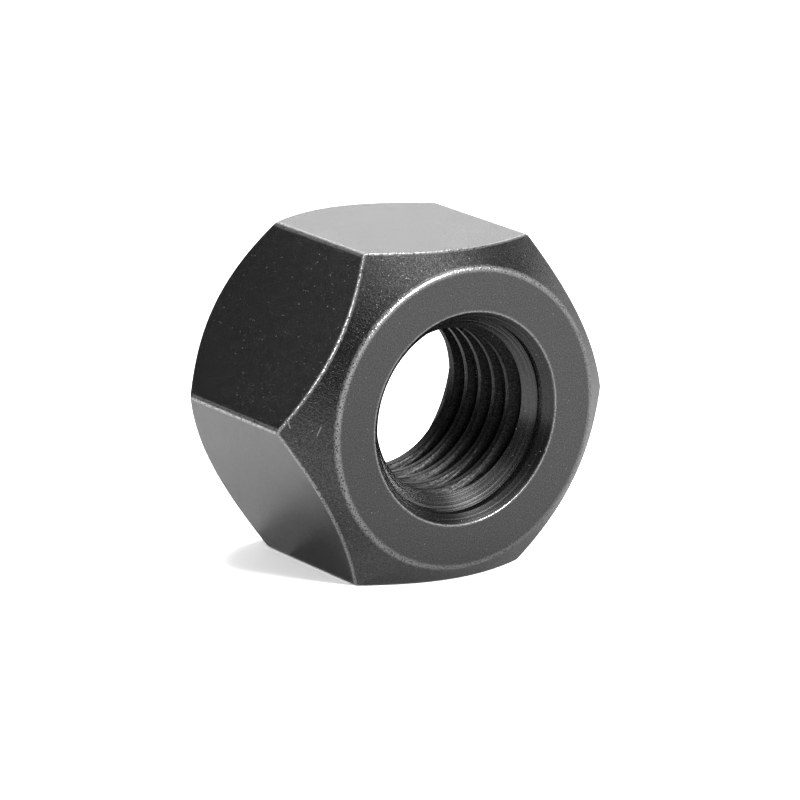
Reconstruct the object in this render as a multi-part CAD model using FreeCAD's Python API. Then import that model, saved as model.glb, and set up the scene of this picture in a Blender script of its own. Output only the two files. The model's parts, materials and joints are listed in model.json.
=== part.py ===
import FreeCAD, Part
import math
import os

# Lock nut, one piece of steel, in millimetres and degrees.
# The axis of the thread runs along Y. The nut lies on one of its six flats at Z = 0,
# as it rests on a table, and its bearing face looks along -Y.
# Depths are measured along the axis, from the bearing face towards the rear.

# Hexagon
across_flats = 28.0
nut_height = 20.0
corner_radius = 0.35

# Bearing end: a flat ring inside a turned chamfer, with the edge between them eased
front_face_diameter = 25.2
front_chamfer_angle = 45.0
front_edge_radius = 0.6

# Rear end: a steeper turned chamfer that takes off only the corners and just meets the flats
rear_face_diameter = 27.2
rear_chamfer_angle = 52.0

# Thread: coarse 16 mm thread of 2 mm pitch, right-handed, in the standard 60 degree form.
# The groove depth, its narrow root and its crests follow from the pitch. The cutter reaches a
# little inside the drilled hole, by the overlap.
thread_major_diameter = 16.0
thread_pitch = 2.0
flank_angle = 60.0
first_groove_depth = 1.02
thread_end_depth = 12.95
groove_overlap = 0.05

# Mouth of the bore: a chamfered rim, a short step just wider than the thread's grooves, and a
# lead-in cone from the step down to the crests
rim_margin = 0.77
rim_chamfer_angle = 90.0
step_margin = 0.2
step_end_depth = 1.5
lead_in_angle = 90.0

# Plain recess behind the thread, much wider than its grooves, with a chamfered rim
recess_margin = 3.8
recess_rim_chamfer = 0.5

# Standard thread form, from the height of the sharp triangle between two flanks
sharp_height = thread_pitch / 2 / math.tan(math.radians(flank_angle / 2))
root_flat = thread_pitch / 8
basic_groove = sharp_height * 5 / 8
thread_minor_diameter = thread_major_diameter - 2 * basic_groove
step_diameter = thread_major_diameter + 2 * step_margin
mouth_diameter = step_diameter + 2 * rim_margin
recess_diameter = thread_major_diameter + 2 * recess_margin


def point(radius, depth):
    """A point of a turned profile, in the plane of the axis, before the nut is laid down."""
    return FreeCAD.Vector(radius, 0, depth)


def polar(radius, angle, height=0.0):
    """A point at an angle, in degrees, about the axis of the nut before it is laid down."""
    turn = math.radians(angle)
    return FreeCAD.Vector(radius * math.cos(turn), radius * math.sin(turn), height)


def eased(before, corner, after, radius):
    """The tangent points and middle of an arc that eases the corner of a profile."""
    to_before = (before - corner).normalize()
    to_after = (after - corner).normalize()
    half_angle = to_before.getAngle(to_after) / 2
    setback = radius / math.tan(half_angle)
    start = corner + to_before * setback
    end = corner + to_after * setback
    inward = (to_before + to_after).normalize()
    middle = corner + inward * (radius / math.sin(half_angle) - radius)
    return start, middle, end


def turned(path):
    """A solid of revolution about the axis, from a closed path of lines and eased corners.

    Each item of the path is a point, or a point with the radius that eases it. The solid is
    turned in two half turns, so that each round wall is two half cylinders.
    """
    corners = [item if isinstance(item, tuple) else (item, 0.0) for item in path]
    count = len(corners)
    pieces = []
    for index, (corner, radius) in enumerate(corners):
        before = corners[index - 1][0]
        after = corners[(index + 1) % count][0]
        if radius:
            pieces.append(eased(before, corner, after, radius))
        else:
            pieces.append((corner,))
    edges = []
    for index, piece in enumerate(pieces):
        following = pieces[(index + 1) % count]
        if len(piece) == 3:
            edges.append(Part.Arc(*piece).toShape())
        edges.append(Part.LineSegment(piece[-1], following[0]).toShape())
    profile = Part.Face(Part.Wire(edges))
    axis_point = FreeCAD.Vector(0, 0, 0)
    axis = FreeCAD.Vector(0, 0, 1)
    first_half = profile.revolve(axis_point, axis, 180)
    second_half = first_half.copy()
    second_half.rotate(axis_point, axis, 180)
    return first_half.fuse(second_half)


def hexagon_bar():
    """The hexagonal bar, its corners slightly rounded, two of its flats square to Y."""
    corner_distance = across_flats / math.sqrt(3)
    centre_distance = corner_distance - corner_radius / math.cos(math.radians(30))
    edges = []
    for corner in range(6):
        angle = 60 * corner
        centre = polar(centre_distance, angle)
        start = centre + polar(corner_radius, angle - 30)
        middle = centre + polar(corner_radius, angle)
        end = centre + polar(corner_radius, angle + 30)
        next_centre = polar(centre_distance, angle + 60)
        next_start = next_centre + polar(corner_radius, angle + 30)
        edges.append(Part.Arc(start, middle, end).toShape())
        edges.append(Part.LineSegment(end, next_start).toShape())
    outline = Part.Face(Part.Wire(edges))
    return outline.extrude(FreeCAD.Vector(0, 0, nut_height))


def turned_blank():
    """The envelope that turning both ends leaves: two faces, two chamfers, one eased edge."""
    beyond_corners = across_flats
    front_radius = front_face_diameter / 2
    rear_radius = rear_face_diameter / 2
    front_fall = (beyond_corners - front_radius) * math.tan(math.radians(front_chamfer_angle))
    rear_fall = (beyond_corners - rear_radius) * math.tan(math.radians(rear_chamfer_angle))
    front_cone = turned([
        point(0, 0),
        (point(front_radius, 0), front_edge_radius),
        point(beyond_corners, front_fall),
        point(beyond_corners, nut_height + front_fall),
        point(0, nut_height + front_fall),
    ])
    rear_cone = turned([
        point(0, nut_height),
        point(rear_radius, nut_height),
        point(beyond_corners, nut_height - rear_fall),
        point(beyond_corners, -rear_fall),
        point(0, -rear_fall),
    ])
    return front_cone, rear_cone


def bore():
    """What the drills take out: chamfered mouth, step, lead-in, thread hole and rear recess."""
    mouth_radius = mouth_diameter / 2
    step_radius = step_diameter / 2
    hole_radius = thread_minor_diameter / 2
    recess_radius = recess_diameter / 2
    rim_depth = (mouth_radius - step_radius) / math.tan(math.radians(rim_chamfer_angle / 2))
    lead_in_length = (step_radius - hole_radius) / math.tan(math.radians(lead_in_angle / 2))
    return turned([
        point(0, 0),
        point(mouth_radius, 0),
        point(step_radius, rim_depth),
        point(step_radius, step_end_depth),
        point(hole_radius, step_end_depth + lead_in_length),
        point(hole_radius, thread_end_depth),
        point(recess_radius, thread_end_depth),
        point(recess_radius, nut_height - recess_rim_chamfer),
        point(recess_radius + recess_rim_chamfer, nut_height),
        point(0, nut_height),
    ])


def thread_groove():
    """The helical groove that the tap cuts, from ahead of the mouth to inside the recess."""
    slope = math.tan(math.radians(flank_angle / 2))
    root_radius = thread_major_diameter / 2
    inner_radius = thread_minor_diameter / 2 - groove_overlap
    half_root = root_flat / 2
    half_inner = half_root + (root_radius - inner_radius) * slope
    start_depth = first_groove_depth - 2 * thread_pitch
    turns = math.ceil((thread_end_depth - start_depth) / thread_pitch) + 1
    section = Part.makePolygon([
        point(inner_radius, start_depth - half_inner),
        point(root_radius, start_depth - half_root),
        point(root_radius, start_depth + half_root),
        point(inner_radius, start_depth + half_inner),
        point(inner_radius, start_depth - half_inner),
    ])
    helix = Part.makeLongHelix(thread_pitch, turns * thread_pitch, inner_radius, 0, False)
    helix.translate(FreeCAD.Vector(0, 0, start_depth))
    sweep = Part.BRepOffsetAPI.MakePipeShell(Part.Wire(helix.Edges))
    sweep.setFrenetMode(True)
    sweep.add(section)
    sweep.build()
    sweep.makeSolid()
    return sweep.shape()


def nut_body():
    """The finished nut, laid down on one of its flats."""
    front_cone, rear_cone = turned_blank()
    blank = hexagon_bar().common(front_cone).common(rear_cone)
    body = blank.cut(bore()).cut(thread_groove()).Solids[0]
    body.rotate(FreeCAD.Vector(0, 0, 0), FreeCAD.Vector(1, 0, 0), -90)
    body.translate(FreeCAD.Vector(0, -nut_height / 2, across_flats / 2))
    return body


os.makedirs("parts", exist_ok=True)
body = nut_body()
print("solids", len(body.Solids), "valid", body.isValid(), "volume", round(body.Volume, 2))
body.exportStep("parts/nut_body.step")
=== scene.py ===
"""Looks of a steel lock nut in black oxide, lying on one of its flats on a pale floor.

Everything is in metres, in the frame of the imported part: the thread's axis runs along Y, the
bearing face looks along -Y and the floor is at Z = 0. Depths are measured along the axis, from
the bearing face towards the rear, and angles about the axis, from +X towards +Z.
"""

import json
import logging
import math
from dataclasses import dataclass, replace
from enum import Enum
from typing import NamedTuple

import bpy
import numpy as np
from mathutils import Matrix, Vector

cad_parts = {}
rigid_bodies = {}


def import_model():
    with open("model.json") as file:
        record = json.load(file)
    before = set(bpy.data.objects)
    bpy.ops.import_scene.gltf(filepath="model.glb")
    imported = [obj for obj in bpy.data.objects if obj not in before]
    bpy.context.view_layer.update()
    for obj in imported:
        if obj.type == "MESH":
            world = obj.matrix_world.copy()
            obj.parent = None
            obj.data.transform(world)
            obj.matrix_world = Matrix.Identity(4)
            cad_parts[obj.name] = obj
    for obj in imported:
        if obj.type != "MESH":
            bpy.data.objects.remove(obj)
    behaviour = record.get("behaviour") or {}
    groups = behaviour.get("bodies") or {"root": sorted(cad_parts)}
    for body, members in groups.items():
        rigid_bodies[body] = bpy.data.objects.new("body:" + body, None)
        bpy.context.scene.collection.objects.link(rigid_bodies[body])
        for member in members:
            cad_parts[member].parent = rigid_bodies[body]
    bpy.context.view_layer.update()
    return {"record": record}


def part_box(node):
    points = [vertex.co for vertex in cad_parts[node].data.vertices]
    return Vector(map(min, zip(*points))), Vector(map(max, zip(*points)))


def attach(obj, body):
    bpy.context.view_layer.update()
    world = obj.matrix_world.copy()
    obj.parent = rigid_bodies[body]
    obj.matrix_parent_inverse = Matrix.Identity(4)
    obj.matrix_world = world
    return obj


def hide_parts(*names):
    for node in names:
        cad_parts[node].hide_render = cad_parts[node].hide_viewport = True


log = logging.getLogger("lock_nut")

MM = 0.001
NUT_NODE = "nut_body"
WALL_MARK = "bore_wall"
TURNED_MARK = "turned_surface"
WEAR_MARK = "edge_wear"

# Lengths: how far above the floor a card lies, the step to which points are rounded before those
# that meet are merged, and how close two radii are when they count as one.
CARD_LIFT = 0.2 * MM
MERGE_STEP = 0.0005 * MM
SAME_RADIUS = 1e-9

Point = tuple[float, float]
Size = tuple[float, float]
Place = tuple[float, float, float]


class Ramp(NamedTuple):
    """A smooth change of one value with another, level before it and after it.

    Attributes:
        low: Where the change starts.
        high: Where it ends.
        start: The value before it.
        end: The value after it.
    """

    low: float
    high: float
    start: float = 0.0
    end: float = 1.0


# Places along Y: the bearing face, where grain and specks are weaker; the mouth, which reflects
# less than plain oxide, and the lead-in cone behind it, which reflects more; the tapped thread.
FACED = Ramp(-9.99 * MM, -9.90 * MM, 0.65, 1.0)
MOUTH_SHEEN = Ramp(-8.6 * MM, -8.3 * MM, -0.13, 0.11)
TAPPED = Ramp(-7.4 * MM, -7.0 * MM)

# The level of reflection of plain oxide.
PLAIN_SHEEN = 0.5

# Values of the noise: where the oxide is light, where worn edges are bare, and the part of the
# noise's range that its sheen follows.
LIGHT_PATCHES = Ramp(0.44, 0.66)
BARE_GRAINS = Ramp(0.36, 0.52)
SHEEN_SPAN = (0.3, 0.7)

# The wear over which the grain is rubbed down, and how a scar fades over its half width.
RUBBED_SPAN = (0.0, 0.3)
SCAR_FADE = Ramp(0.5, 1.0, 1.0, 0.0)

# Where the points of the tapped wall stand: on a groove's flanks, as shares of their lengths, and
# round the crest behind it, as shares of its easing.
FRONT_FLANK_POINTS = (0.25, 0.5, 0.75, 1.0)
REAR_FLANK_POINTS = (0.0, 0.25, 0.5)
CREST_POINTS = (-1.0, -0.6, -0.3, 0.0, 0.3, 0.6, 1.0)


class Zone(Enum):
    """The two kinds of surface on the nut, by how they were finished."""

    BLASTED = "outside, blasted before it was blackened"
    TURNED = "bore, as the tools left it"


@dataclass(frozen=True)
class Thread:
    """A right-handed standard thread, in metres and radians.

    Attributes:
        outer_radius: Distance from the axis to the bottom of the groove.
        crest_radius: Distance from the axis to the crests.
        pitch: Distance from one turn to the next.
        flank_angle: Angle between the two flanks of the groove.
        first_groove_depth: Depth of the first groove's middle at the angle 0.
        runout_start: Depth from which the groove grows shallower.
        runout_length: Length over which it fades out.
        crest_easing: Rounding of the edge behind each groove.
        sharp_easing: Rounding of the edge in front of it.
    """

    outer_radius: float
    crest_radius: float
    pitch: float = 2.0 * MM
    flank_angle: float = math.radians(60.0)
    first_groove_depth: float = 1.02 * MM
    runout_start: float = 12.4 * MM
    runout_length: float = 1.1 * MM
    crest_easing: float = 0.10 * MM
    sharp_easing: float = 0.04 * MM

    @property
    def root_flat(self) -> float:
        """The width of the flat at the bottom of the groove."""
        return self.pitch / 8

    @property
    def groove_height(self) -> float:
        """How far the groove reaches into the steel from the crests."""
        return self.outer_radius - self.crest_radius

    @property
    def flank_slope(self) -> float:
        """How far a flank runs along the axis for each unit of depth into the steel."""
        return math.tan(self.flank_angle / 2)


@dataclass(frozen=True)
class Corner:
    """A corner of the nut's section, with the radius that eases it.

    Attributes:
        radius: Distance from the axis.
        depth: Distance behind the bearing face.
        easing: Radius of the arc that rounds the corner, or 0.
        steps: Number of straight steps in that arc.
        wear: How far the oxide is worn from the corner, from 0 to 1.
        guard: Distance from the arc's ends to the points that end the wear, or 0 for none.
    """

    radius: float
    depth: float
    easing: float = 0.0
    steps: int = 0
    wear: float = 0.0
    guard: float = 0.0


@dataclass(frozen=True)
class SectionPoint:
    """One point of the nut's section at one angle about the axis.

    Attributes:
        radius: Distance from the axis.
        depth: Distance behind the bearing face.
        wear: How far the oxide is worn there, from 0 to 1.
        on_wall: Whether the tap may move it.
        turned: Whether it is inside the bore, and so not blasted.
    """

    radius: float
    depth: float
    wear: float = 0.0
    on_wall: bool = False
    turned: bool = False


def arc_wear(share: float) -> float:
    """Spreads the wear of a rounded edge over its arc.

    Args:
        share: Share of the way round the arc.

    Returns:
        The wear there, which is 1 in the middle of the arc and about half as much at its ends.
    """
    return math.sin(math.pi * (0.15 + 0.7 * share))


def eased_corner(before: Point, corner: Corner, after: Point) -> list[SectionPoint]:
    """Rounds one corner of a section.

    Args:
        before: The corner before it, as radius and depth.
        corner: The corner to round.
        after: The corner after it.

    Returns:
        The points of the arc, with a guard point beyond each end where the corner has them.
    """
    if not corner.easing:
        return [SectionPoint(corner.radius, corner.depth, corner.wear)]
    tip = np.array((corner.radius, corner.depth))
    to_before = np.array(before) - tip
    to_after = np.array(after) - tip
    to_before /= np.linalg.norm(to_before)
    to_after /= np.linalg.norm(to_after)
    half_angle = math.acos(float(np.clip(to_before @ to_after, -1, 1))) / 2
    setback = corner.easing / math.tan(half_angle)
    inward = (to_before + to_after) / np.linalg.norm(to_before + to_after)
    centre = tip + inward * (corner.easing / math.sin(half_angle))
    start = tip + to_before * setback - centre
    end = tip + to_after * setback - centre
    sweep = math.pi - 2 * half_angle
    arc = []
    for step in range(corner.steps + 1):
        share = step / corner.steps
        spot = (
            math.sin((1 - share) * sweep) * start + math.sin(share * sweep) * end
        ) / math.sin(sweep) + centre
        arc.append(SectionPoint(float(spot[0]), float(spot[1]), corner.wear * arc_wear(share)))
    if corner.guard:
        reach = setback + corner.guard
        first = tip + to_before * reach
        last = tip + to_after * reach
        arc.insert(0, SectionPoint(float(first[0]), float(first[1])))
        arc.append(SectionPoint(float(last[0]), float(last[1])))
    return arc


class NodeBoard:
    """A short way to add and join nodes of one tree."""

    def __init__(self, tree: bpy.types.NodeTree) -> None:
        """Keeps the tree that the nodes go into."""
        self.tree = tree

    def add(self, kind: str, **settings: object) -> bpy.types.Node:
        """Adds a node.

        Args:
            kind: The node's type name.
            **settings: Properties to set on it.

        Returns:
            The new node.
        """
        node = self.tree.nodes.new(kind)
        for name, value in settings.items():
            setattr(node, name, value)
        return node

    def feed(self, socket: bpy.types.NodeSocket, value: object) -> None:
        """Joins an output to an input, or sets the input where the value is a constant.

        Args:
            socket: The input.
            value: An output, or a number, a colour or a vector.
        """
        if isinstance(value, bpy.types.NodeSocket):
            self.tree.links.new(value, socket)
        else:
            socket.default_value = value

    def math(self, operation: str, *values: object, clamp: bool = False) -> bpy.types.NodeSocket:
        """Adds a Math node.

        Args:
            operation: The Math node's operation.
            *values: Its inputs, as sockets or numbers.
            clamp: Whether the result is held between 0 and 1.

        Returns:
            The output socket.
        """
        node = self.add("ShaderNodeMath", operation=operation, use_clamp=clamp)
        for socket, value in zip(node.inputs, values):
            self.feed(socket, value)
        return node.outputs[0]

    def vector(self, operation: str, *values: object) -> bpy.types.NodeSocket:
        """Adds a Vector Math node.

        Args:
            operation: The node's operation.
            *values: The inputs that this operation uses, as sockets.

        Returns:
            The output that this operation uses.
        """
        node = self.add("ShaderNodeVectorMath", operation=operation)
        used = [socket for socket in node.inputs if socket.enabled]
        for socket, value in zip(used, values):
            self.feed(socket, value)
        return next(socket for socket in node.outputs if socket.enabled)

    def ramp(
        self, value: object, low: float, high: float, start: float = 0.0, end: float = 1.0
    ) -> bpy.types.NodeSocket:
        """Maps a value smoothly from one range to another.

        Args:
            value: The value, as a socket.
            low: Where the range starts.
            high: Where the range ends.
            start: The result at low and below it.
            end: The result at high and above it.

        Returns:
            The output socket.
        """
        node = self.add("ShaderNodeMapRange", interpolation_type="SMOOTHSTEP")
        for socket, item in zip(node.inputs, (value, low, high, start, end)):
            self.feed(socket, item)
        return node.outputs["Result"]

    def mix(self, factor: object, first: object, second: object) -> bpy.types.NodeSocket:
        """Mixes two colours.

        Args:
            factor: Share of the second colour.
            first: The first colour, as a socket or four numbers.
            second: The second colour.

        Returns:
            The output socket.
        """
        node = self.add("ShaderNodeMix", data_type="RGBA")
        self.feed(node.inputs["Factor"], factor)
        self.feed(node.inputs[6], first)
        self.feed(node.inputs[7], second)
        return node.outputs[2]


def grey(value: float) -> tuple[float, float, float, float]:
    """Makes a neutral colour.

    Args:
        value: Its linear value.

    Returns:
        The colour, opaque.
    """
    return (value, value, value, 1.0)


def new_material(name: str) -> tuple[bpy.types.Material, NodeBoard]:
    """Makes a material without any nodes.

    Args:
        name: Name of the material.

    Returns:
        The material, and the board that its nodes go on.
    """
    material = bpy.data.materials.new(name)
    material.use_nodes = True
    material.node_tree.nodes.clear()
    return material, NodeBoard(material.node_tree)


def matt_paint(board: NodeBoard, colour: object) -> None:
    """Finishes a material as a matt paint.

    Args:
        board: The board of the material's nodes.
        colour: The colour, as a socket or four numbers.
    """
    out = board.add("ShaderNodeOutputMaterial")
    paint = board.add("ShaderNodeBsdfDiffuse")
    board.feed(paint.inputs["Color"], colour)
    board.feed(out.inputs["Surface"], paint.outputs[0])


@dataclass(frozen=True)
class GrainGroup:
    """The shader group for the fine grain and specks that the whole nut has under its oxide.

    Attributes:
        name: Name of the node group.
        grain_per_mm: Grains in a millimetre.
        fine_ratio: How many times smaller the fine grain is.
        fine_share: How much of the grain's height is fine grain.
        dust_per_mm: Light and dark dots of the oxide in a millimetre.
        cloud_per_mm: Patches of uneven oxide in a millimetre.
        speck_per_mm: Cells of bright specks in a millimetre.
        speck_size: Radius of the largest specks, as a share of a cell.
        speck_rarity: Power that keeps most of the specks small.
    """

    name: str = "blackened grain"
    grain_per_mm: float = 6.5
    fine_ratio: float = 2.3
    fine_share: float = 0.4
    dust_per_mm: float = 8.0
    cloud_per_mm: float = 0.35
    speck_per_mm: float = 3.2
    speck_size: float = 0.13
    speck_rarity: float = 2.4

    def build(self) -> bpy.types.NodeTree:
        """Builds the group.

        Returns:
            The node group, with the position and the size of specks as inputs, and grain, dust,
            clouds and specks as outputs.
        """
        tree = bpy.data.node_groups.new(self.name, "ShaderNodeTree")
        face = tree.interface
        face.new_socket("Position", in_out="INPUT", socket_type="NodeSocketVector")
        largest = face.new_socket("Speck size", in_out="INPUT", socket_type="NodeSocketFloat")
        largest.default_value = self.speck_size
        board = NodeBoard(tree)
        given = board.add("NodeGroupInput").outputs
        position = given["Position"]
        coarse = self._noise(board, position, self.grain_per_mm, detail=3.0)
        fine_per_mm = self.grain_per_mm * self.fine_ratio
        fine = self._noise(board, position, fine_per_mm, detail=1.0)
        coarse = board.math("MULTIPLY", coarse, 1 - self.fine_share)
        results = {
            "Grain": board.math("MULTIPLY_ADD", fine, self.fine_share, coarse),
            "Dust": self._noise(board, position, self.dust_per_mm, detail=2.0),
            "Clouds": self._noise(board, position, self.cloud_per_mm, detail=4.0),
            "Specks": self._specks(board, position, given["Speck size"]),
        }
        for name in results:
            face.new_socket(name, in_out="OUTPUT", socket_type="NodeSocketFloat")
        group_out = board.add("NodeGroupOutput")
        for name, result in results.items():
            board.feed(group_out.inputs[name], result)
        return tree

    def _noise(
        self, board: NodeBoard, position: object, per_mm: float, detail: float
    ) -> bpy.types.NodeSocket:
        """Adds a noise texture.

        Args:
            board: Where the nodes go.
            position: The coordinates.
            per_mm: Features in a millimetre.
            detail: Octaves of finer noise.

        Returns:
            The noise value, about 0.5 on average.
        """
        noise = board.add("ShaderNodeTexNoise")
        board.feed(noise.inputs["Vector"], position)
        board.feed(noise.inputs["Scale"], per_mm / MM)
        board.feed(noise.inputs["Detail"], detail)
        return noise.outputs[0]

    def _specks(self, board: NodeBoard, position: object, size: object) -> bpy.types.NodeSocket:
        """Scatters round specks, most of them much smaller than the largest.

        Args:
            board: Where the nodes go.
            position: The coordinates.
            size: Radius of the largest specks, as a share of a cell.

        Returns:
            The mask of the specks.
        """
        cells = board.add("ShaderNodeTexVoronoi", feature="F1")
        board.feed(cells.inputs["Vector"], position)
        board.feed(cells.inputs["Scale"], self.speck_per_mm / MM)
        split = board.add("ShaderNodeSeparateColor")
        board.feed(split.inputs[0], cells.outputs["Color"])
        chance = board.math("POWER", split.outputs[0], self.speck_rarity)
        radius = board.math("MULTIPLY", size, chance)
        return board.math("LESS_THAN", cells.outputs["Distance"], radius)


@dataclass(frozen=True)
class Scar:
    """A short mark on the nut, along a straight line.

    Attributes:
        name: What it is, shown on its node.
        start: Where it starts.
        end: Where it ends.
        width: Half its width.
        pale: Whether it shows steel, and isn't a dark pit.
    """

    name: str
    start: Place
    end: Place
    width: float
    pale: bool = True


SCARS = (
    Scar(
        "longer scratch on the chamfer",
        start=(-0.01556, -0.00699, 0.01535),
        end=(-0.01536, -0.00722, 0.01448),
        width=0.06 * MM,
    ),
    Scar(
        "shorter scratch on the chamfer",
        start=(-0.01357, -0.00901, 0.01475),
        end=(-0.01380, -0.00880, 0.01400),
        width=0.05 * MM,
    ),
    Scar(
        "rubbed spot low on the bearing face",
        start=(0.00818, -0.00998, 0.01050),
        end=(0.00825, -0.00990, 0.01015),
        width=0.09 * MM,
    ),
    Scar(
        "pit on the top flat",
        start=(-0.00615, -0.00278, 0.028),
        end=(-0.00580, -0.00285, 0.028),
        width=0.12 * MM,
        pale=False,
    ),
)


@dataclass(frozen=True)
class ScarGroup:
    """The shader group that masks one scar.

    Attributes:
        name: Name of the node group.
    """

    name: str = "scar"

    def build(self) -> bpy.types.NodeTree:
        """Builds the group.

        Returns:
            The node group, with the scar's two ends and width as inputs and its mask as output.
        """
        tree = bpy.data.node_groups.new(self.name, "ShaderNodeTree")
        face = tree.interface
        for name in ("Position", "Start", "End"):
            face.new_socket(name, in_out="INPUT", socket_type="NodeSocketVector")
        face.new_socket("Width", in_out="INPUT", socket_type="NodeSocketFloat")
        face.new_socket("Mask", in_out="OUTPUT", socket_type="NodeSocketFloat")
        board = NodeBoard(tree)
        given = board.add("NodeGroupInput").outputs
        along = board.vector("SUBTRACT", given["End"], given["Start"])
        away = board.vector("SUBTRACT", given["Position"], given["Start"])
        reach = board.vector("DOT_PRODUCT", away, along)
        length = board.vector("DOT_PRODUCT", along, along)
        share = board.math("DIVIDE", reach, length, clamp=True)
        gap = board.vector("DISTANCE", away, board.vector("SCALE", along, share))
        relative = board.math("DIVIDE", gap, given["Width"])
        out = board.add("NodeGroupOutput")
        board.feed(out.inputs["Mask"], board.ramp(relative, *SCAR_FADE))
        return tree


@dataclass(frozen=True)
class OxideSigns:
    """What the looks of the oxide are worked out from, all of it as sockets.

    Attributes:
        along: Place along the thread's axis.
        grain: Height of the grain, from 0 to 1.
        dust: Light and dark dots of the oxide, about 0.5 on average.
        tone: The same dots, with the clouds of uneven oxide added.
        specks: Mask of the bright specks.
        wear: How far the edges are worn.
        faced: How strong grain and specks are, which is less on the bearing face.
        pale: Mask of the pale scars.
        pit: Mask of the dark scars.
    """

    along: object
    grain: object
    dust: object
    tone: object
    specks: object
    wear: object
    faced: object
    pale: object
    pit: object


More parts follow.
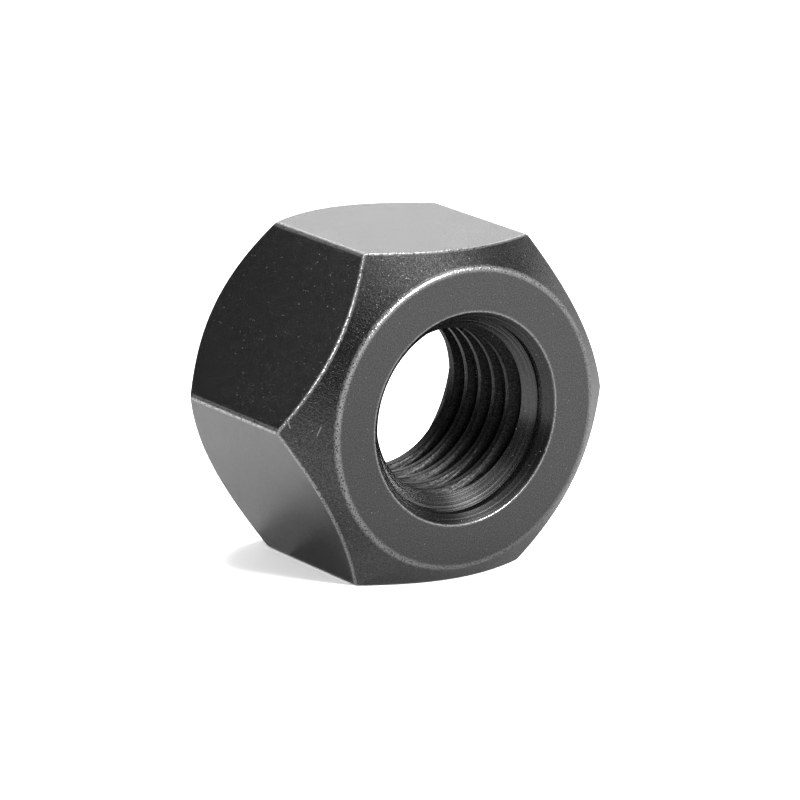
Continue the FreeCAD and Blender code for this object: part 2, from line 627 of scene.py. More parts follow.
@dataclass(frozen=True)
class BlackOxide:
    """Black oxide on steel, over one kind of surface.

    Attributes:
        name: Name of the material.
        zone: The kind of surface under it.
        dark: Linear value of the oxide in its darkest patches.
        light: Linear value in its lightest patches.
        mottle: How much the clouds change those patches.
        speck_tone: Linear value of the bright specks.
        bare_tone: Linear value of steel where the oxide is worn off.
        scar_wear: How bare the pale scars are, from 0 to 1.
        roughness: Roughness of the oxide.
        roughness_spread: How far its darkest and lightest patches are above and below that.
        grain_height: Height of the grain, in metres.
        rubbed_grain: Share of that height which is left on worn edges.
        pit_depth: Depth of the dark scars, in metres.
        ring_height: Height of the turned rings, in metres, or 0 for none.
        rings_per_mm: Rings in a millimetre.
        reflectance_index: Refractive index of the oxide.
        sheen_spread: How far the level of reflection varies from grain to grain.
        tapped_roughness: How much rougher the tapped thread is than the rest of the bore.
        tapped_dulling: How far its level of reflection is below that of the lead-in cone.
    """

    name: str
    zone: Zone
    dark: float = 0.003
    light: float = 0.009
    mottle: float = 0.3
    speck_tone: float = 0.24
    bare_tone: float = 0.56
    scar_wear: float = 0.6
    roughness: float = 0.19
    roughness_spread: float = 0.05
    grain_height: float = 0.058 * MM
    rubbed_grain: float = 0.65
    pit_depth: float = 0.08 * MM
    ring_height: float = 0.0
    rings_per_mm: float = 7.0
    reflectance_index: float = 2.06
    sheen_spread: float = 0.20
    tapped_roughness: float = 0.13
    tapped_dulling: float = 0.52

    def build(self, grain: bpy.types.NodeTree, scar: bpy.types.NodeTree) -> bpy.types.Material:
        """Builds the material.

        Args:
            grain: The shared grain group.
            scar: The shared group that masks a scar.

        Returns:
            The material.
        """
        material, board = new_material(self.name)
        out = board.add("ShaderNodeOutputMaterial")
        surface = board.add("ShaderNodeBsdfPrincipled")
        board.feed(out.inputs["Surface"], surface.outputs[0])
        signs = self._signs(board, grain, scar)
        colour, worn = self._colour(board, signs)
        rough, level = self._sheen(board, signs)
        board.feed(surface.inputs["Base Color"], colour)
        board.feed(surface.inputs["Metallic"], worn)
        board.feed(surface.inputs["Roughness"], rough)
        board.feed(surface.inputs["Specular IOR Level"], level)
        surface.inputs["IOR"].default_value = self.reflectance_index
        board.feed(surface.inputs["Normal"], self._relief(board, signs))
        return material

    def _signs(
        self, board: NodeBoard, grain: bpy.types.NodeTree, scar: bpy.types.NodeTree
    ) -> OxideSigns:
        """Adds the nodes that the looks are worked out from.

        Args:
            board: Where the nodes go.
            grain: The shared grain group.
            scar: The shared group that masks a scar.

        Returns:
            Their outputs.
        """
        position = board.add("ShaderNodeTexCoord").outputs["Object"]
        split = board.add("ShaderNodeSeparateXYZ")
        board.feed(split.inputs[0], position)
        along = split.outputs["Y"]
        group = board.add("ShaderNodeGroup", node_tree=grain)
        board.feed(group.inputs["Position"], position)
        found = group.outputs
        shift = board.math("MULTIPLY_ADD", found["Clouds"], self.mottle, -self.mottle / 2)
        pale, pit = self._scars(board, position, scar)
        return OxideSigns(
            along=along,
            grain=found["Grain"],
            dust=found["Dust"],
            tone=board.math("ADD", found["Dust"], shift),
            specks=found["Specks"],
            wear=board.add("ShaderNodeAttribute", attribute_name=WEAR_MARK).outputs["Fac"],
            faced=board.ramp(along, *FACED),
            pale=pale,
            pit=pit,
        )

    def _colour(self, board: NodeBoard, signs: OxideSigns) -> tuple[object, object]:
        """Works out the colour of the oxide, and where it is worn off.

        Args:
            board: Where the nodes go.
            signs: What the looks are worked out from.

        Returns:
            The colour, and how bare the steel is.
        """
        patches = board.ramp(signs.tone, *LIGHT_PATCHES)
        oxide = board.mix(patches, grey(self.dark), grey(self.light))
        specks = board.math("MULTIPLY", signs.specks, signs.faced)
        oxide = board.mix(specks, oxide, grey(self.speck_tone))
        oxide = board.mix(signs.pit, oxide, grey(self.dark))
        worn = board.math("MULTIPLY", signs.wear, board.ramp(signs.dust, *BARE_GRAINS))
        worn = board.math("MAXIMUM", worn, board.math("MULTIPLY", signs.pale, self.scar_wear))
        return board.mix(worn, oxide, grey(self.bare_tone)), worn

    def _sheen(self, board: NodeBoard, signs: OxideSigns) -> tuple[object, object]:
        """Works out how rough the oxide is and how much it reflects.

        Args:
            board: Where the nodes go.
            signs: What the looks are worked out from.

        Returns:
            The roughness and the level of reflection.
        """
        roughest = self.roughness + self.roughness_spread
        smoothest = self.roughness - self.roughness_spread
        rough = board.ramp(signs.tone, *SHEEN_SPAN, roughest, smoothest)
        dull, bright = PLAIN_SHEEN - self.sheen_spread, PLAIN_SHEEN + self.sheen_spread
        level = board.ramp(signs.dust, *SHEEN_SPAN, dull, bright)
        if self.zone is Zone.BLASTED:
            beyond = board.math("SUBTRACT", level, PLAIN_SHEEN)
            return rough, board.math("MULTIPLY_ADD", beyond, signs.faced, PLAIN_SHEEN)
        tapped = board.ramp(signs.along, *TAPPED)
        rough = board.math("MULTIPLY_ADD", tapped, self.tapped_roughness, rough)
        level = board.math("ADD", level, board.ramp(signs.along, *MOUTH_SHEEN))
        return rough, board.math("MULTIPLY_ADD", tapped, -self.tapped_dulling, level)

    def _relief(self, board: NodeBoard, signs: OxideSigns) -> bpy.types.NodeSocket:
        """Adds the grain, the pits and the turned rings as a bump.

        Args:
            board: Where the nodes go.
            signs: What the looks are worked out from.

        Returns:
            The normal.
        """
        left = self.rubbed_grain * self.grain_height
        grain_height = board.ramp(signs.wear, *RUBBED_SPAN, self.grain_height, left)
        grain_height = board.math("MULTIPLY", grain_height, signs.faced)
        height = board.math("MULTIPLY", signs.grain, grain_height)
        height = board.math("MULTIPLY_ADD", signs.pit, -self.pit_depth, height)
        if self.ring_height:
            height = board.math("ADD", height, self._rings(board, signs.along))
        bump = board.add("ShaderNodeBump")
        bump.inputs["Strength"].default_value = 1.0
        bump.inputs["Distance"].default_value = 1.0
        board.feed(bump.inputs["Height"], height)
        return bump.outputs[0]

    def _scars(
        self, board: NodeBoard, position: object, scar: bpy.types.NodeTree
    ) -> tuple[object, object]:
        """Adds the scars.

        Args:
            board: Where the nodes go.
            position: Object coordinates.
            scar: The shared group that masks one scar.

        Returns:
            The mask of the pale scars and the mask of the dark ones.
        """
        masks: dict[bool, object] = {True: 0.0, False: 0.0}
        for mark in SCARS:
            node = board.add("ShaderNodeGroup", node_tree=scar, label=mark.name)
            board.feed(node.inputs["Position"], position)
            board.feed(node.inputs["Start"], mark.start)
            board.feed(node.inputs["End"], mark.end)
            board.feed(node.inputs["Width"], mark.width)
            masks[mark.pale] = board.math("MAXIMUM", masks[mark.pale], node.outputs["Mask"])
        return masks[True], masks[False]

    def _rings(self, board: NodeBoard, along: object) -> bpy.types.NodeSocket:
        """Fine rings round the axis, as a turning tool leaves them.

        Args:
            board: Where the nodes go.
            along: Place along the thread's axis.

        Returns:
            The height of the rings, in metres.
        """
        noise = board.add("ShaderNodeTexNoise", noise_dimensions="1D")
        board.feed(noise.inputs["W"], along)
        board.feed(noise.inputs["Scale"], self.rings_per_mm / MM)
        board.feed(noise.inputs["Detail"], 2.0)
        return board.math("MULTIPLY", noise.outputs[0], self.ring_height)


def skin_faces(grid: np.ndarray) -> list[list[int]]:
    """Joins neighbouring closed columns of vertices with faces.

    Args:
        grid: The number of the vertex in each column and row.

    Returns:
        The faces, each with three or four different vertices.
    """
    column_count, row_count = grid.shape
    faces = []
    for column in range(column_count - 1):
        for row in range(row_count):
            after = (row + 1) % row_count
            ring = [
                grid[column, row],
                grid[column, after],
                grid[column + 1, after],
                grid[column + 1, row],
            ]
            face = [int(ring[k]) for k in range(4) if ring[k] != ring[k - 1]]
            if len(set(face)) > 2:
                faces.append(face)
    return faces


@dataclass
class LockNut:
    """The nut: a hexagonal bar turned at both ends, drilled, counterbored and tapped.

    Attributes:
        across_flats: Width over two opposite flats.
        height: Length along the axis.
        thread: The thread in the bore.
        recess_radius: Radius of the plain recess behind the thread.
        corner_radius: Rounding of the six edges between the flats.
        face_radius: Radius of the bearing face, to the sharp corner before it is eased.
        face_easing: Rounding between the bearing face and its chamfer.
        front_slope: Fall of the front chamfer for each unit of radius.
        rear_radius: Radius of the rear face.
        rear_slope: Fall of the rear chamfer for each unit of radius.
        step_radius: Radius of the short step inside the mouth.
        rim_radius: Radius of the mouth at the bearing face.
        rim_easing: Rounding of the mouth's rim.
        step_end: Depth where the step ends and the lead-in cone starts.
        lead_in_slope: Narrowing of the lead-in cone for each unit of depth.
        thread_end: Depth where the thread opens into the recess.
        recess_rim: Size of the chamfer at the recess's rim.
        edge_break: Rounding between the rear chamfer and the flats; others at the rear follow it.
        front_edge_break: Rounding between the front chamfer and the flats.
        face_wear: How far the bearing face's outer edge is worn, on average.
        uneven_wear: How much more or less it is worn from one side to the other.
        most_worn: Angle about the axis where it is worn most.
        edge_guard: Distance past a rounded edge at which its wear ends.
        corner_guard: The same past the six edges between the flats.
        sharp_angle: Angle from which an edge between two faces is shown sharp.
        flat_columns: Number of sections across each flat.
        corner_columns: Number of steps round each corner.
    """

    across_flats: float
    height: float
    thread: Thread
    recess_radius: float
    corner_radius: float = 0.45 * MM
    face_radius: float = 12.6 * MM
    face_easing: float = 0.6 * MM
    front_slope: float = math.tan(math.radians(45.0))
    rear_radius: float = 13.6 * MM
    rear_slope: float = math.tan(math.radians(52.0))
    step_radius: float = 8.2 * MM
    rim_radius: float = 8.97 * MM
    rim_easing: float = 0.09 * MM
    step_end: float = 1.5 * MM
    lead_in_slope: float = math.tan(math.radians(45.0))
    thread_end: float = 12.95 * MM
    recess_rim: float = 0.5 * MM
    edge_break: float = 0.2 * MM
    front_edge_break: float = 0.34 * MM
    face_wear: float = 0.38
    uneven_wear: float = 0.17
    most_worn: float = math.radians(130.0)
    edge_guard: float = 0.12 * MM
    corner_guard: float = 0.15 * MM
    sharp_angle: float = math.radians(28.0)
    flat_columns: int = 44
    corner_columns: int = 6

    @property
    def rim_depth(self) -> float:
        """Depth where the mouth's chamfer meets the step."""
        return self.rim_radius - self.step_radius

    @property
    def lead_in_end(self) -> float:
        """Depth where the lead-in cone meets the crests."""
        return self.step_end + (self.step_radius - self.thread.crest_radius) / self.lead_in_slope

    @property
    def cut_start(self) -> float:
        """Depth on the lead-in cone where it is as wide as the grooves."""
        return self.lead_in_end - self.thread.groove_height / self.lead_in_slope

    def outline(self) -> list[tuple[float, float, float]]:
        """The hexagon's outline, once round.

        Returns:
            For each column its angle, its distance from the axis, and how far it is worn.
        """
        half_corner = math.radians(30)
        setback = self.corner_radius / math.cos(half_corner)
        centre_distance = self.across_flats / math.sqrt(3) - setback
        spots = []
        for step in range(self.corner_columns + 1):
            share = step / self.corner_columns
            turn = math.radians(60 * share - 30)
            x = centre_distance + self.corner_radius * math.cos(turn)
            y = self.corner_radius * math.sin(turn)
            spots.append((x, y, arc_wear(share)))
        side = self.across_flats * math.tan(half_corner)
        length = side - 2 * self.corner_radius * math.tan(half_corner)
        guard = self.corner_guard
        count = self.flat_columns
        reaches = [guard + (length - 2 * guard) * step / count for step in range(count)]
        reaches.append(length - guard)
        along = math.radians(120)
        x0, y0, _ = spots[-1]
        for reach in reaches:
            spots.append((x0 + reach * math.cos(along), y0 + reach * math.sin(along), 0.0))
        columns = []
        for corner in range(6):
            middle = math.radians(60 * corner)
            for x, y, wear in spots:
                columns.append((middle + math.atan2(y, x), math.hypot(x, y), wear))
        angle, radius, wear = columns[0]
        columns.append((angle + 2 * math.pi, radius, wear))
        return columns

    def wall_radius(self, depth: float) -> float:
        """Radius of the drilled wall, before it is tapped.

        Args:
            depth: Depth behind the bearing face.

        Returns:
            The radius of the step, of the lead-in cone or of the hole behind it.
        """
        cone = self.thread.crest_radius + (self.lead_in_end - depth) * self.lead_in_slope
        return min(self.step_radius, max(self.thread.crest_radius, cone))

    def groove_edges(self, centre: float) -> tuple[float, float, float, float]:
        """Where one groove meets the drilled wall, which may be the lead-in cone.

        Args:
            centre: Depth of the groove's middle at one angle.

        Returns:
            The depths of its front edge, of both edges of its root, and of its rear edge. In
            front of the lead-in cone, all of them are where the cut starts.
        """
        slope = self.thread.flank_slope
        half_root = self.thread.root_flat / 2
        height = self.thread.groove_height
        cone = self.lead_in_slope
        front = centre - half_root - height * slope
        if front < self.lead_in_end:
            offset = self.lead_in_end * cone + (centre - half_root) / slope - height
            front = offset / (1 / slope + cone)
        rear = centre + half_root + height * slope
        if rear < self.lead_in_end:
            offset = height + (centre + half_root) / slope - self.lead_in_end * cone
            rear = offset / (1 / slope - cone)
        if centre - half_root < self.cut_start:
            front = self.cut_start
        root_front = max(centre - half_root, self.cut_start)
        root_rear = max(centre + half_root, self.cut_start)
        if root_rear <= self.cut_start:
            rear = self.cut_start
        return front, root_front, root_rear, rear

    def wall_depths(self, angle: float) -> list[float]:
        """Depths of the wall's points at one angle, placed on every edge that the tap cuts.

        Args:
            angle: Angle about the axis.

        Returns:
            The depths, from the step to the recess, always the same number of them.
        """
        thread = self.thread
        eased = thread.crest_easing * thread.flank_slope
        sharp = thread.sharp_easing * thread.flank_slope
        depths = [self.step_end]
        previous = self.cut_start
        groove_count = math.ceil(self.thread_end / thread.pitch) + 2
        for groove in range(-1, groove_count):
            centre = thread.first_groove_depth + thread.pitch * (groove - angle / (2 * math.pi))
            front, root_front, root_rear, rear = self.groove_edges(centre)
            depths.append(min(max(self.lead_in_end, previous), front))
            depths += [front - sharp, front, front + sharp]
            depths += [front + (root_front - front) * share for share in FRONT_FLANK_POINTS]
            depths += [root_rear + (rear - root_rear) * share for share in REAR_FLANK_POINTS]
            depths += [rear + eased * share for share in CREST_POINTS]
            previous = rear
        settled = np.maximum.accumulate(np.array(depths))
        return list(np.minimum(settled, self.thread_end))

    def section(self, angle: float, bar_radius: float, bar_wear: float) -> list[SectionPoint]:
        """The nut's section at one angle.

        Args:
            angle: Angle about the axis.
            bar_radius: Distance from the axis to the hexagon's outline.
            bar_wear: Wear of the outline there.

        Returns:
            The points of the closed section, from the mouth outwards and round to the bore.
        """
        recess = self.recess_radius
        rim = self.recess_rim
        edge = self.edge_break
        guard = self.edge_guard
        near = guard / 2
        front_fall = (bar_radius - self.face_radius) * self.front_slope
        rear_fall = (bar_radius - self.rear_radius) * self.rear_slope
        face_wear = self.face_wear + self.uneven_wear * math.cos(angle - self.most_worn)
        corners = [
            Corner(self.step_radius, self.rim_depth),
            Corner(self.rim_radius, 0.0, self.rim_easing, steps=4, wear=0.8, guard=guard),
            Corner(self.face_radius, 0.0, self.face_easing, steps=12, wear=face_wear, guard=guard),
            Corner(bar_radius, front_fall, self.front_edge_break, steps=6, wear=1.0, guard=guard),
            Corner(bar_radius, self.height - rear_fall, edge, steps=4, wear=1.0, guard=guard),
            Corner(self.rear_radius, self.height, edge / 2, steps=4, wear=0.8, guard=near),
            Corner(recess + rim, self.height, edge / 4, steps=2, wear=0.5, guard=near),
            Corner(recess, self.height - rim, edge / 4, steps=2, wear=0.3),
            Corner(recess, self.thread_end, 2 * edge, steps=5),
            Corner(self.thread.crest_radius, self.thread_end),
        ]
        points = [SectionPoint(self.step_radius, self.rim_depth)]
        for index in range(1, len(corners) - 1):
            before, corner, after = corners[index - 1 : index + 2]
            points += eased_corner(
                (before.radius, before.depth), corner, (after.radius, after.depth)
            )
        finished = []
        for point in points:
            on_flat = abs(point.radius - bar_radius) < SAME_RADIUS
            wear = max(point.wear, bar_wear) if on_flat else point.wear
            mouth = self.rim_radius if point.depth < self.height / 2 else recess + rim
            turned = point.radius < mouth + edge / 4
            finished.append(replace(point, wear=wear, turned=turned))
        for depth in reversed(self.wall_depths(angle)):
            radius = self.wall_radius(depth)
            finished.append(SectionPoint(radius, depth, on_wall=True, turned=True))
        return finished

    def blank(self, outside: bpy.types.Material) -> bpy.types.Object:
        """Builds the nut as it is before it is tapped.

        Args:
            outside: Finish of the outside.

        Returns:
            The object, with its wall, its turned surfaces and its wear as attributes.
        """
        places, wear, wall, turned = [], [], [], []
        columns = self.outline()
        for angle, bar_radius, bar_wear in columns:
            for point in self.section(angle, bar_radius, bar_wear):
                x = point.radius * math.cos(angle)
                y = point.depth - self.height / 2
                z = point.radius * math.sin(angle) + self.across_flats / 2
                places.append((x, y, z))
                wear.append(point.wear)
                wall.append(point.on_wall)
                turned.append(point.turned)
        places = np.array(places)
        keys = np.round(places / MERGE_STEP).astype(np.int64)
        _, first, merged = np.unique(keys, axis=0, return_index=True, return_inverse=True)
        faces = skin_faces(merged.reshape(len(columns), -1))
        mesh = bpy.data.meshes.new("nut blank")
        mesh.from_pydata([tuple(places[k]) for k in first], [], faces)
        mesh.attributes.new(WEAR_MARK, "FLOAT", "POINT").data.foreach_set(
            "value", np.array(wear, np.float32)[first]
        )
        for mark, values in ((WALL_MARK, wall), (TURNED_MARK, turned)):
            mesh.attributes.new(mark, "BOOLEAN", "POINT").data.foreach_set(
                "value", np.array(values, bool)[first]
            )
        mesh.materials.append(outside)
        mesh.validate()
        item = bpy.data.objects.new("threaded_nut", mesh)
        bpy.context.scene.collection.objects.link(item)
        return item

    def tap_sizes(self) -> dict[str, float]:
        """The sizes that the tap takes, by the names of its tree's inputs."""
        thread = self.thread
        return {
            "Outer radius": thread.outer_radius,
            "Crest radius": thread.crest_radius,
            "Pitch": thread.pitch,
            "Root flat": thread.root_flat,
            "Flank slope": thread.flank_slope,
            "First groove depth": thread.first_groove_depth,
            "Runout start": thread.runout_start,
            "Runout length": thread.runout_length,
            "Crest easing": thread.crest_easing,
            "Sharp easing": thread.sharp_easing,
            "Bearing face": -self.height / 2,
            "Axis height": self.across_flats / 2,
        }

    def tap_tree(self, bore: bpy.types.Material) -> bpy.types.NodeTree:
        """Builds the tap: a tree that moves the wall's points out to the helical groove.

        Args:
            bore: Finish of the bore.

        Returns:
            The Geometry Nodes tree.
        """
        tree = bpy.data.node_groups.new("tap", "GeometryNodeTree")
        face = tree.interface
        face.new_socket("Geometry", in_out="INPUT", socket_type="NodeSocketGeometry")
        for name in self.tap_sizes():
            face.new_socket(name, in_out="INPUT", socket_type="NodeSocketFloat")
        face.new_socket("Geometry", in_out="OUTPUT", socket_type="NodeSocketGeometry")
        board = NodeBoard(tree)
        size = board.add("NodeGroupInput").outputs
        move = board.add("GeometryNodeSetPosition")
        board.feed(move.inputs["Geometry"], size["Geometry"])
        board.feed(move.inputs["Selection"], self._marked(board, WALL_MARK))
        board.feed(move.inputs["Offset"], self._outward(board, size))
        realize = board.add("GeometryNodeRealizeInstances")
        board.feed(realize.inputs[0], move.outputs[0])
        finish = board.add("GeometryNodeSetMaterial")
        board.feed(finish.inputs["Geometry"], realize.outputs[0])
        board.feed(finish.inputs["Selection"], self._marked(board, TURNED_MARK))
        finish.inputs["Material"].default_value = bore
        group_out = board.add("NodeGroupOutput")
        board.feed(group_out.inputs["Geometry"], finish.outputs[0])
        return tree

    def _marked(self, board: NodeBoard, mark: str) -> bpy.types.NodeSocket:
        """Reads which points of the blank carry a mark.

        Args:
            board: Where the nodes go.
            mark: Name of the mark.

        Returns:
            Whether a point carries it.
        """
        node = board.add("GeometryNodeInputNamedAttribute", data_type="BOOLEAN")
        node.inputs["Name"].default_value = mark
        return node.outputs["Attribute"]

    def _outward(self, board: NodeBoard, size: bpy.types.NodeOutputs) -> bpy.types.NodeSocket:
        """Works out how far a point of the wall moves away from the axis.

        Args:
            board: Where the nodes go.
            size: The tree's named inputs.

        Returns:
            The move, as a vector square to the axis.
        """
        place = board.add("ShaderNodeSeparateXYZ")
        board.feed(place.inputs[0], board.add("GeometryNodeInputPosition").outputs[0])
        across = place.outputs["X"]
        upward = board.math("SUBTRACT", place.outputs["Z"], size["Axis height"])
        depth = board.math("SUBTRACT", place.outputs["Y"], size["Bearing face"])
        turn = board.math("DIVIDE", board.math("ARCTAN2", upward, across), 2 * math.pi)
        offset = self._groove_offset(board, size, depth, turn)
        groove = self._groove_radius(board, size, depth, offset)
        flat = board.add("ShaderNodeCombineXYZ")
        board.feed(flat.inputs["X"], across)
        board.feed(flat.inputs["Z"], upward)
        radius = board.vector("LENGTH", flat.outputs[0])
        behind = board.math("GREATER_THAN", offset, 0.0)
        difference = board.math("SUBTRACT", size["Crest easing"], size["Sharp easing"])
        easing = board.math("MULTIPLY_ADD", behind, difference, size["Sharp easing"])
        cut = board.math("SMOOTH_MAX", radius, groove, easing)
        scale = board.math("DIVIDE", board.math("SUBTRACT", cut, radius), radius)
        return board.vector("SCALE", flat.outputs[0], scale)

    def _groove_offset(
        self, board: NodeBoard, size: bpy.types.NodeOutputs, depth: object, turn: object
    ) -> bpy.types.NodeSocket:
        """Works out how far behind the middle of the nearest groove a point is.

        Args:
            board: Where the nodes go.
            size: The tree's named inputs.
            depth: Depth of the point.
            turn: Its angle about the axis, in whole turns.

        Returns:
            The distance along the axis, negative in front of the middle.
        """
        along = board.math("SUBTRACT", depth, size["First groove depth"])
        phase = board.math("ADD", board.math("DIVIDE", along, size["Pitch"]), turn)
        from_groove = board.math("SUBTRACT", phase, board.math("ROUND", phase))
        return board.math("MULTIPLY", from_groove, size["Pitch"])

    def _groove_radius(
        self, board: NodeBoard, size: bpy.types.NodeOutputs, depth: object, offset: object
    ) -> bpy.types.NodeSocket:
        """Works out how far from the axis the groove's surface is.

        Args:
            board: Where the nodes go.
            size: The tree's named inputs.
            depth: Depth of the point.
            offset: How far it is behind the middle of the groove.

        Returns:
            The distance, less where the groove runs out before the recess.
        """
        half_root = board.math("MULTIPLY", size["Root flat"], 0.5)
        beyond_root = board.math("SUBTRACT", board.math("ABSOLUTE", offset), half_root)
        beyond_root = board.math("MAXIMUM", beyond_root, 0.0)
        rise = board.math("DIVIDE", beyond_root, size["Flank slope"])
        full = board.math("SUBTRACT", size["Outer radius"], rise)
        centre = board.math("SUBTRACT", depth, offset)
        past = board.math("SUBTRACT", centre, size["Runout start"])
        fade = board.math("DIVIDE", past, size["Runout length"], clamp=True)
        lift = board.math("SUBTRACT", size["Outer radius"], size["Crest radius"])
        return board.math("SUBTRACT", full, board.math("MULTIPLY", fade, lift))

    def tap(self, item: bpy.types.Object, bore: bpy.types.Material) -> bpy.types.Object:
        """Taps the blank and makes the result a plain mesh.

        Args:
            item: The blank.
            bore: Finish of the bore.

        Returns:
            The same object, with the thread cut into its mesh.
        """
        tree = self.tap_tree(bore)
        modifier = item.modifiers.new("tap", "NODES")
        modifier.node_group = tree
        sizes = self.tap_sizes()
        for socket in tree.interface.items_tree:
            if socket.name in sizes and socket.in_out == "INPUT":
                modifier[socket.identifier] = sizes[socket.name]
        depsgraph = bpy.context.evaluated_depsgraph_get()
        mesh = bpy.data.meshes.new_from_object(
            item.evaluated_get(depsgraph), preserve_all_data_layers=True, depsgraph=depsgraph
        )
        item.modifiers.clear()
        item.data = mesh
        mesh.name = "threaded nut"
        mesh.shade_smooth()
        mesh.set_sharp_from_angle(angle=self.sharp_angle)
        return item

    def build(self, outside: bpy.types.Material, bore: bpy.types.Material) -> bpy.types.Object:
        """Makes the nut and puts it in the place of the plain part.

        Args:
            outside: Finish of the outside.
            bore: Finish of the bore.

        Returns:
            The finished piece.
        """
        item = self.tap(self.blank(outside), bore)
        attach(item, "root")
        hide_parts(NUT_NODE)
        return item


@dataclass(frozen=True)
class Softbox:
    """A soft rectangular lamp.

    Attributes:
        name: Name of the lamp.
        direction: Direction from the nut towards the lamp.
        distance: Distance from the nut.
        size: Width and height.
        radiance: Brightness of its face, where 1 is white.
    """

    name: str
    direction: Place
    distance: float
    size: Size
    radiance: float


@dataclass(frozen=True)
class Card:
    """A card for the nut to reflect, which the camera doesn't see.

    Attributes:
        name: Name of the card.
        direction: Direction from the nut towards the card.
        distance: Distance from the nut.
        size: Width and height.
        tone: Linear value of its paint.
        lies: Whether it lies on the floor, and doesn't face the nut.
    """

    name: str
    direction: Place
    distance: float
    size: Size
    tone: float
    lies: bool = False


SOFTBOXES = (
    Softbox("front lamp", (0.27, -0.87, 0.41), 0.5, (0.11, 0.10), 78.0),
    Softbox("upper front lamp", (0.33, -0.57, 0.76), 0.5, (0.20, 0.06), 4.5),
    Softbox("overhead lamp", (0.12, -0.12, 1.00), 0.6, (0.56, 0.26), 0.8),
    Softbox("left lamp", (-0.79, 0.15, 0.53), 0.6, (0.16, 0.16), 11.5),
    Softbox("rear lamp", (0.12, 0.34, 0.93), 0.6, (0.30, 0.12), 15.5),
    Softbox("rear right lamp", (0.60, 0.80, 0.30), 0.6, (0.45, 0.30), 1.05),
)
CARDS = (
    Card("rear left card", (-0.56, 0.80, 0.28), 0.080, (0.110, 0.085), 0.06),
    Card("front left card", (-0.68, -0.62, 0.42), 0.50, (0.50, 0.66), 0.01),
    Card("upper front card", (-0.17, -0.45, 0.88), 0.50, (0.32, 0.30), 0.20),
    Card("right card", (0.78, -0.10, 0.60), 0.50, (0.34, 0.34), 0.01),
    Card("front floor card", (-0.70, -0.72, 0.0), 0.0735, (0.16, 0.12), 0.40, lies=True),
    Card("right floor card", (0.93, 0.25, 0.0), 0.091, (0.15, 0.144), 0.56, lies=True),
    Card("rear floor card", (-0.50, 0.87, 0.0), 0.037, (0.05, 0.060), 1.00, lies=True),
)


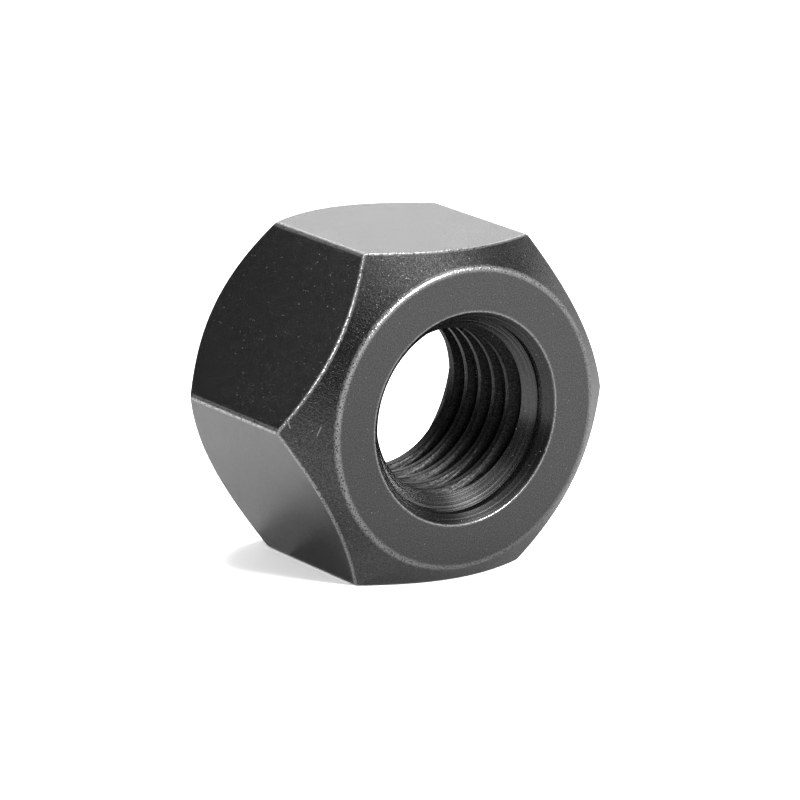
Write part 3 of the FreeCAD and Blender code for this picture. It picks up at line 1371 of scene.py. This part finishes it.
@dataclass(frozen=True)
class Studio:
    """The white floor and background, the lamps and the camera.

    Attributes:
        centre_height: Height of the nut's centre above the floor.
        world_level: Strength of the surrounding light.
        floor_tone: Linear value of the floor, as it lights the nut.
        floor_seen: Linear value of the floor as the camera sees it.
        floor_mirrored: Linear value of the floor as reflections see it.
        floor_size: Width of the floor.
        camera_azimuth: Angle of the camera about Z, in degrees, 0 being straight in front of the
            bearing face and more being towards +X.
        camera_elevation: Height of the camera above the horizon, in degrees.
        camera_roll: Turn of the camera about its line of sight, in degrees.
        camera_distance: Distance from the camera to the nut's centre.
        camera_offset: Shift of the camera, to the right and upwards.
        camera_reach: The nearest and the farthest distance that the camera sees.
        lens: Focal length, in millimetres.
        sensor_width: Width of the sensor, in millimetres.
    """

    centre_height: float
    world_level: float = 0.35
    floor_tone: float = 0.85
    floor_seen: float = 2.30
    floor_mirrored: float = 0.48
    floor_size: float = 3.0
    camera_azimuth: float = -34.40
    camera_elevation: float = 14.38
    camera_roll: float = 1.56
    camera_distance: float = 0.48074
    camera_offset: Point = (0.18 * MM, -0.65 * MM)
    camera_reach: Point = (0.05, 20.0)
    lens: float = 260.2
    sensor_width: float = 36.0

    def camera(self) -> bpy.types.Object:
        """Places the camera.

        Returns:
            The camera, also set as the scene's own.
        """
        azimuth = math.radians(self.camera_azimuth)
        elevation = math.radians(self.camera_elevation)
        roll = math.radians(self.camera_roll)
        right = Vector((math.cos(azimuth), math.sin(azimuth), 0.0))
        level = math.cos(elevation)
        back = Vector((math.sin(azimuth) * level, -math.cos(azimuth) * level, math.sin(elevation)))
        up = back.cross(right)
        rolled_right = math.cos(roll) * right + math.sin(roll) * up
        rolled_up = math.cos(roll) * up - math.sin(roll) * right
        aim = Vector((0.0, 0.0, self.centre_height))
        spot = aim + back * self.camera_distance
        spot += rolled_right * self.camera_offset[0] + rolled_up * self.camera_offset[1]
        lens = bpy.data.cameras.new("camera")
        lens.lens = self.lens
        lens.sensor_width = self.sensor_width
        lens.clip_start, lens.clip_end = self.camera_reach
        item = bpy.data.objects.new("camera", lens)
        axes = Matrix((rolled_right, rolled_up, back)).transposed().to_4x4()
        item.matrix_world = Matrix.Translation(spot) @ axes
        bpy.context.scene.collection.objects.link(item)
        bpy.context.scene.camera = item
        return item

    def world(self) -> None:
        """Sets the surrounding light, white where the camera or a reflection sees it."""
        world = bpy.data.worlds.new("studio")
        world.use_nodes = True
        bpy.context.scene.world = world
        board = NodeBoard(world.node_tree)
        world.node_tree.nodes.clear()
        out = board.add("ShaderNodeOutputWorld")
        light = board.add("ShaderNodeBackground")
        board.feed(out.inputs["Surface"], light.outputs[0])
        board.feed(light.inputs["Strength"], self._seen(board, self.world_level, 1.0, 1.0))

    def _seen(
        self, board: NodeBoard, plain: float, seen: float, mirrored: float
    ) -> bpy.types.NodeSocket:
        """A value that differs where the camera, a reflection or a refraction sees it.

        Args:
            board: Where the nodes go.
            plain: The value for all other light.
            seen: The value where the camera sees it.
            mirrored: The value where a reflection or a refraction sees it.

        Returns:
            The output socket.
        """
        path = board.add("ShaderNodeLightPath").outputs
        bent = board.math("MAXIMUM", path["Is Glossy Ray"], path["Is Transmission Ray"])
        value = board.math("MULTIPLY_ADD", bent, mirrored - plain, plain)
        return board.math("MULTIPLY_ADD", path["Is Camera Ray"], seen - plain, value)

    def floor(self) -> bpy.types.Object:
        """Lays the floor.

        Returns:
            The floor.
        """
        material, board = new_material("pale floor")
        tone = self._seen(board, self.floor_tone, self.floor_seen, self.floor_mirrored)
        matt_paint(board, tone)
        size = (self.floor_size, self.floor_size)
        item = self._sheet("floor", size, Matrix.Identity(4), material)
        return item

    def _sheet(
        self, name: str, size: Size, place: Matrix, material: bpy.types.Material
    ) -> bpy.types.Object:
        """Makes a flat rectangle.

        Args:
            name: Name of the object and of its mesh.
            size: Width and height.
            place: Where its middle is and how it is turned.
            material: Its finish.

        Returns:
            The object.
        """
        width, height = size[0] / 2, size[1] / 2
        corners = [(-width, -height), (width, -height), (width, height), (-width, height)]
        spots = [tuple(place @ Vector((x, y, 0))) for x, y in corners]
        mesh = bpy.data.meshes.new(name)
        mesh.from_pydata(spots, [], [(0, 1, 2, 3)])
        mesh.materials.append(material)
        item = bpy.data.objects.new(name, mesh)
        bpy.context.scene.collection.objects.link(item)
        return item

    def facing(self, direction: Place, distance: float) -> Matrix:
        """The place of something that faces the nut.

        Args:
            direction: Direction from the nut's centre towards it.
            distance: Distance from the nut's centre.

        Returns:
            Its matrix, with its own +Z pointing away from the nut.
        """
        toward = Vector(direction).normalized()
        spot = Vector((0, 0, self.centre_height)) + toward * distance
        return Matrix.Translation(spot) @ toward.to_track_quat("Z", "Y").to_matrix().to_4x4()

    def hang(self, softbox: Softbox) -> None:
        """Hangs a soft lamp that faces the nut.

        Args:
            softbox: The lamp.
        """
        lamp = bpy.data.lights.new(softbox.name, "AREA")
        lamp.shape = "RECTANGLE"
        lamp.size, lamp.size_y = softbox.size
        # The power of a flat lamp is pi times its radiance and its area.
        lamp.energy = softbox.radiance * math.pi * softbox.size[0] * softbox.size[1]
        item = bpy.data.objects.new(softbox.name, lamp)
        item.matrix_world = self.facing(softbox.direction, softbox.distance)
        bpy.context.scene.collection.objects.link(item)

    def stand(self, card: Card) -> None:
        """Stands or lays a card that only reflections see.

        Args:
            card: The card.
        """
        place = self.facing(card.direction, card.distance)
        if card.lies:
            turn = math.atan2(card.direction[1], card.direction[0]) + math.pi / 2
            spot = Vector(card.direction).normalized() * card.distance
            spot.z = CARD_LIFT
            place = Matrix.Translation(spot) @ Matrix.Rotation(turn, 4, "Z")
        material, board = new_material(card.name)
        matt_paint(board, grey(card.tone))
        item = self._sheet(card.name, card.size, place, material)
        item.visible_camera = False
        item.visible_diffuse = False
        item.visible_shadow = False

    def build(self) -> None:
        """Builds the whole studio."""
        self.world()
        self.floor()
        for softbox in SOFTBOXES:
            self.hang(softbox)
        for card in CARDS:
            self.stand(card)
        self.camera()
        bpy.context.scene.view_settings.view_transform = "Standard"


def main() -> None:
    """Builds the nut and its studio, and reports each piece."""
    logging.basicConfig(level=logging.INFO, format="%(name)s: %(message)s")
    for item in list(bpy.data.objects):
        bpy.data.objects.remove(item)
    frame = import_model()
    low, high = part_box(NUT_NODE)
    mounts = {mount["name"]: mount for mount in frame["record"]["mounts"]}
    thread = Thread(
        outer_radius=8.0 * MM,
        crest_radius=mounts["thread"]["dims"]["r_mm"] * MM,
    )
    nut = LockNut(
        across_flats=high.z - low.z,
        height=high.y - low.y,
        thread=thread,
        recess_radius=mounts["rear_recess"]["dims"]["r_mm"] * MM,
    )
    grain = GrainGroup().build()
    scar = ScarGroup().build()
    outside = BlackOxide("blasted black oxide", Zone.BLASTED).build(grain, scar)
    bore = BlackOxide(
        "turned black oxide",
        Zone.TURNED,
        dark=0.002,
        light=0.008,
        speck_tone=0.30,
        roughness=0.27,
        grain_height=0.006 * MM,
        ring_height=0.026 * MM,
        reflectance_index=2.1,
        sheen_spread=0.05,
    ).build(grain, scar)
    piece = nut.build(outside, bore)
    log.info("%s: %d faces", piece.name, len(piece.data.polygons))
    Studio(centre_height=nut.across_flats / 2).build()
    log.info("studio ready")


if __name__ == "__main__":
    main()
